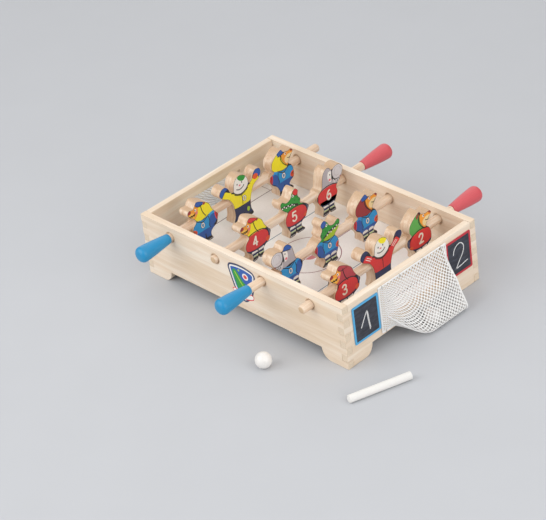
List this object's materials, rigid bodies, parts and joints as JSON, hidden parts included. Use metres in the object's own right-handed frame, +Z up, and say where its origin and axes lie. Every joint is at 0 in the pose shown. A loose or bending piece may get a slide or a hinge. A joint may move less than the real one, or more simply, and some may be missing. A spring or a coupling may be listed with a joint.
{
  "type": "table hockey game",
  "caption": "Open wooden box with a rink board, sliding and spinning player rods with flat animal figures, netted goals and chalkboards for the score, with its balls and chalk.",
  "frame": {"origin": "bottom centre of the whole set as it stands: the game with its rods at rest, the loose ball and the chalk stick", "axes": "+X along the box from the far goal to the goal with the chalkboards, +Y from the front side to the back side, +Z up"},
  "size_m": [0.485, 0.403, 0.1121],
  "materials": {
    "birch_panel": "clear varnish",
    "printed_rink": "white print, satin",
    "beech_rod": "sanded",
    "beech_bush": "sanded",
    "blue_lacquer": "gloss lacquer",
    "red_lacquer": "gloss lacquer",
    "painted_bear": "printed wood",
    "painted_fox": "printed wood",
    "painted_crocodile": "printed wood",
    "painted_elephant": "printed wood",
    "painted_keeper": "printed wood",
    "white_cord": "knotted cord",
    "steel_wire": "bright wire",
    "blue_border": "printed film",
    "red_border": "printed film",
    "chalkboard": "matt slate paint",
    "white_ball": "satin",
    "white_chalk": "dry chalk"
  },
  "bodies": {
    "table": {"front_side": "birch_panel", "back_side": "birch_panel", "far_end": "birch_panel", "near_end": "birch_panel", "rink_board": "printed_rink", "near_goal_net": "white_cord", "far_goal_net": "white_cord", "near_net_staple_1": "steel_wire", "near_net_staple_2": "steel_wire", "near_net_staple_3": "steel_wire", "near_net_staple_4": "steel_wire", "near_net_staple_5": "steel_wire", "near_net_staple_6": "steel_wire", "near_net_staple_7": "steel_wire", "far_net_staple_1": "steel_wire", "far_net_staple_2": "steel_wire", "far_net_staple_3": "steel_wire", "far_net_staple_4": "steel_wire", "far_net_staple_5": "steel_wire", "far_net_staple_6": "steel_wire", "far_net_staple_7": "steel_wire", "blue_chalkboard_border": "blue_border", "blue_chalkboard": "chalkboard", "red_chalkboard_border": "red_border", "red_chalkboard": "chalkboard", "ball_in_net": "white_ball", "loose_ball": "white_ball", "chalk_stick": "white_chalk"},
    "rod_1_bushes": {"front_bush_1": "beech_bush", "back_bush_1": "beech_bush"},
    "rod_1_with_figures": {"rod_1": "beech_rod", "handle_1": "blue_lacquer", "rod_1_front_bear": "painted_bear", "rod_1_middle_keeper": "painted_keeper", "rod_1_back_fox": "painted_fox"},
    "rod_2_bushes": {"front_bush_2": "beech_bush", "back_bush_2": "beech_bush"},
    "rod_2_with_figures": {"rod_2": "beech_rod", "handle_2": "red_lacquer", "rod_2_front_bear": "painted_bear", "rod_2_middle_crocodile": "painted_crocodile", "rod_2_back_elephant": "painted_elephant"},
    "rod_3_bushes": {"front_bush_3": "beech_bush", "back_bush_3": "beech_bush"},
    "rod_3_with_figures": {"rod_3": "beech_rod", "handle_3": "blue_lacquer", "rod_3_front_elephant": "painted_elephant", "rod_3_middle_crocodile": "painted_crocodile", "rod_3_back_fox": "painted_fox"},
    "rod_4_bushes": {"front_bush_4": "beech_bush", "back_bush_4": "beech_bush"},
    "rod_4_with_figures": {"rod_4": "beech_rod", "handle_4": "red_lacquer", "rod_4_front_bear": "painted_bear", "rod_4_middle_keeper": "painted_keeper", "rod_4_back_fox": "painted_fox"}
  },
  "joints": [
    {"name": "rod_1_spin", "type": "hinge", "parent": "table", "child": "rod_1_bushes", "pos_m": [-0.15051, -0.0028, 0.0764], "axis": [0, 1, 0], "continuous": true},
    {"name": "rod_1_slide", "type": "slide", "parent": "rod_1_bushes", "child": "rod_1_with_figures", "axis": [0, 1, 0], "range_m": [-0.0165, 0.003]},
    {"name": "rod_2_spin", "type": "hinge", "parent": "table", "child": "rod_2_bushes", "pos_m": [-0.06451, -0.0028, 0.0764], "axis": [0, 1, 0], "continuous": true},
    {"name": "rod_2_slide", "type": "slide", "parent": "rod_2_bushes", "child": "rod_2_with_figures", "axis": [0, 1, 0], "range_m": [-0.0285, 0.0036]},
    {"name": "rod_3_spin", "type": "hinge", "parent": "table", "child": "rod_3_bushes", "pos_m": [0.02149, -0.0028, 0.0764], "axis": [0, 1, 0], "continuous": true},
    {"name": "rod_3_slide", "type": "slide", "parent": "rod_3_bushes", "child": "rod_3_with_figures", "axis": [0, 1, 0], "range_m": [-0.0017, 0.0228]},
    {"name": "rod_4_spin", "type": "hinge", "parent": "table", "child": "rod_4_bushes", "pos_m": [0.10749, -0.0028, 0.0764], "axis": [0, 1, 0], "continuous": true},
    {"name": "rod_4_slide", "type": "slide", "parent": "rod_4_bushes", "child": "rod_4_with_figures", "axis": [0, 1, 0], "range_m": [-0.0162, 0.0188]}
  ]
}
